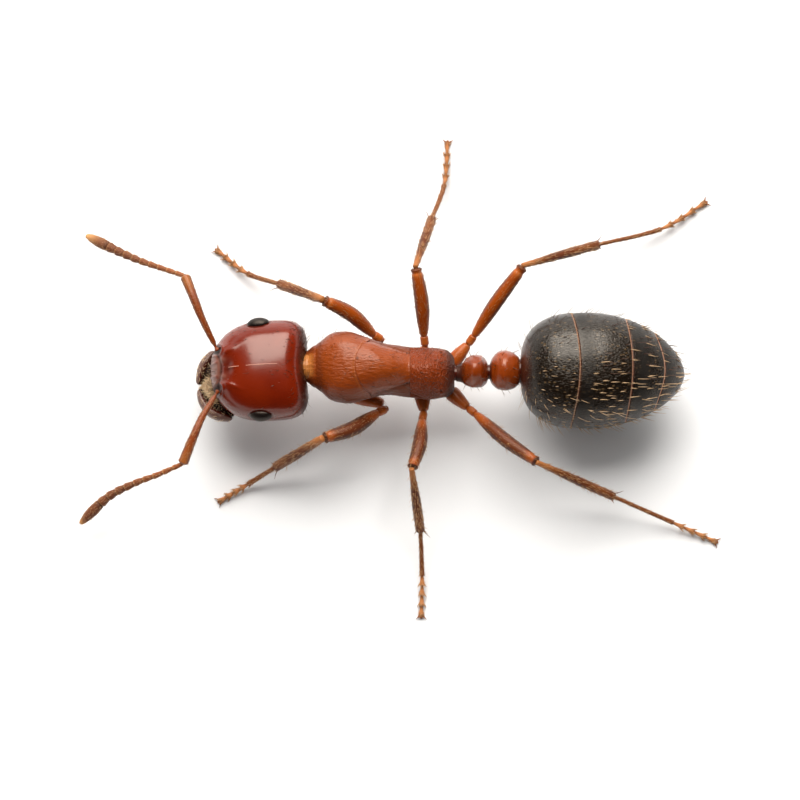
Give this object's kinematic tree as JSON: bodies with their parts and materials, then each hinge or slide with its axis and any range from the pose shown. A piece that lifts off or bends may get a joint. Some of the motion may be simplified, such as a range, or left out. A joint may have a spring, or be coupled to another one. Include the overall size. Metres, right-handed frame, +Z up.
{
  "type": "fire ant, life-size still model",
  "caption": "Life-size still model of a fire ant worker standing on six legs, red-brown in front with a near-black gaster, feelers held forward.",
  "frame": {"origin": "on the floor, under the middle of the whole ant's box", "axes": "+Z up, the head towards -X, the ant's right side towards +Y"},
  "size_m": [0.0078, 0.0059, 0.0015],
  "materials": {
    "head_red": "glossy, thin transparent-looking horn",
    "thorax_brown": "satin, finely wrinkled",
    "gaster_black": "satin, finely pitted",
    "leg_amber": "satin with short pale down",
    "feeler_red": "satin to matt",
    "jaw_dark": "glossy",
    "eye_black": "glossy, faintly netted",
    "seta": "pale golden hair"
  },
  "bodies": {
    "root": {"coxa_front_L": "leg_amber", "coxa_front_R": "leg_amber", "coxa_hind_L": "leg_amber", "coxa_hind_R": "leg_amber", "coxa_mid_L": "leg_amber", "coxa_mid_R": "leg_amber", "eye_L": "eye_black", "eye_R": "eye_black", "femur_front_L": "leg_amber", "femur_front_R": "leg_amber", "femur_hind_L": "leg_amber", "femur_hind_R": "leg_amber", "femur_mid_L": "leg_amber", "femur_mid_R": "leg_amber", "funiculus_L": "feeler_red", "funiculus_R": "feeler_red", "gaster_1": "gaster_black", "gaster_2": "gaster_black", "gaster_3": "gaster_black", "gaster_4": "gaster_black", "head": "head_red", "mandible_L": "jaw_dark", "mandible_R": "jaw_dark", "mesothorax": "thorax_brown", "petiole": "thorax_brown", "postpetiole": "thorax_brown", "pronotum": "thorax_brown", "propodeum": "thorax_brown", "scape_L": "feeler_red", "scape_R": "feeler_red", "tarsus_front_L": "leg_amber", "tarsus_front_R": "leg_amber", "tarsus_hind_L": "leg_amber", "tarsus_hind_R": "leg_amber", "tarsus_mid_L": "leg_amber", "tarsus_mid_R": "leg_amber", "tibia_front_L": "leg_amber", "tibia_front_R": "leg_amber", "tibia_hind_L": "leg_amber", "tibia_hind_R": "leg_amber", "tibia_mid_L": "leg_amber", "tibia_mid_R": "leg_amber", "trochanter_front_L": "leg_amber", "trochanter_front_R": "leg_amber", "trochanter_hind_L": "leg_amber", "trochanter_hind_R": "leg_amber", "trochanter_mid_L": "leg_amber", "trochanter_mid_R": "leg_amber"}
  },
  "joints": []
}
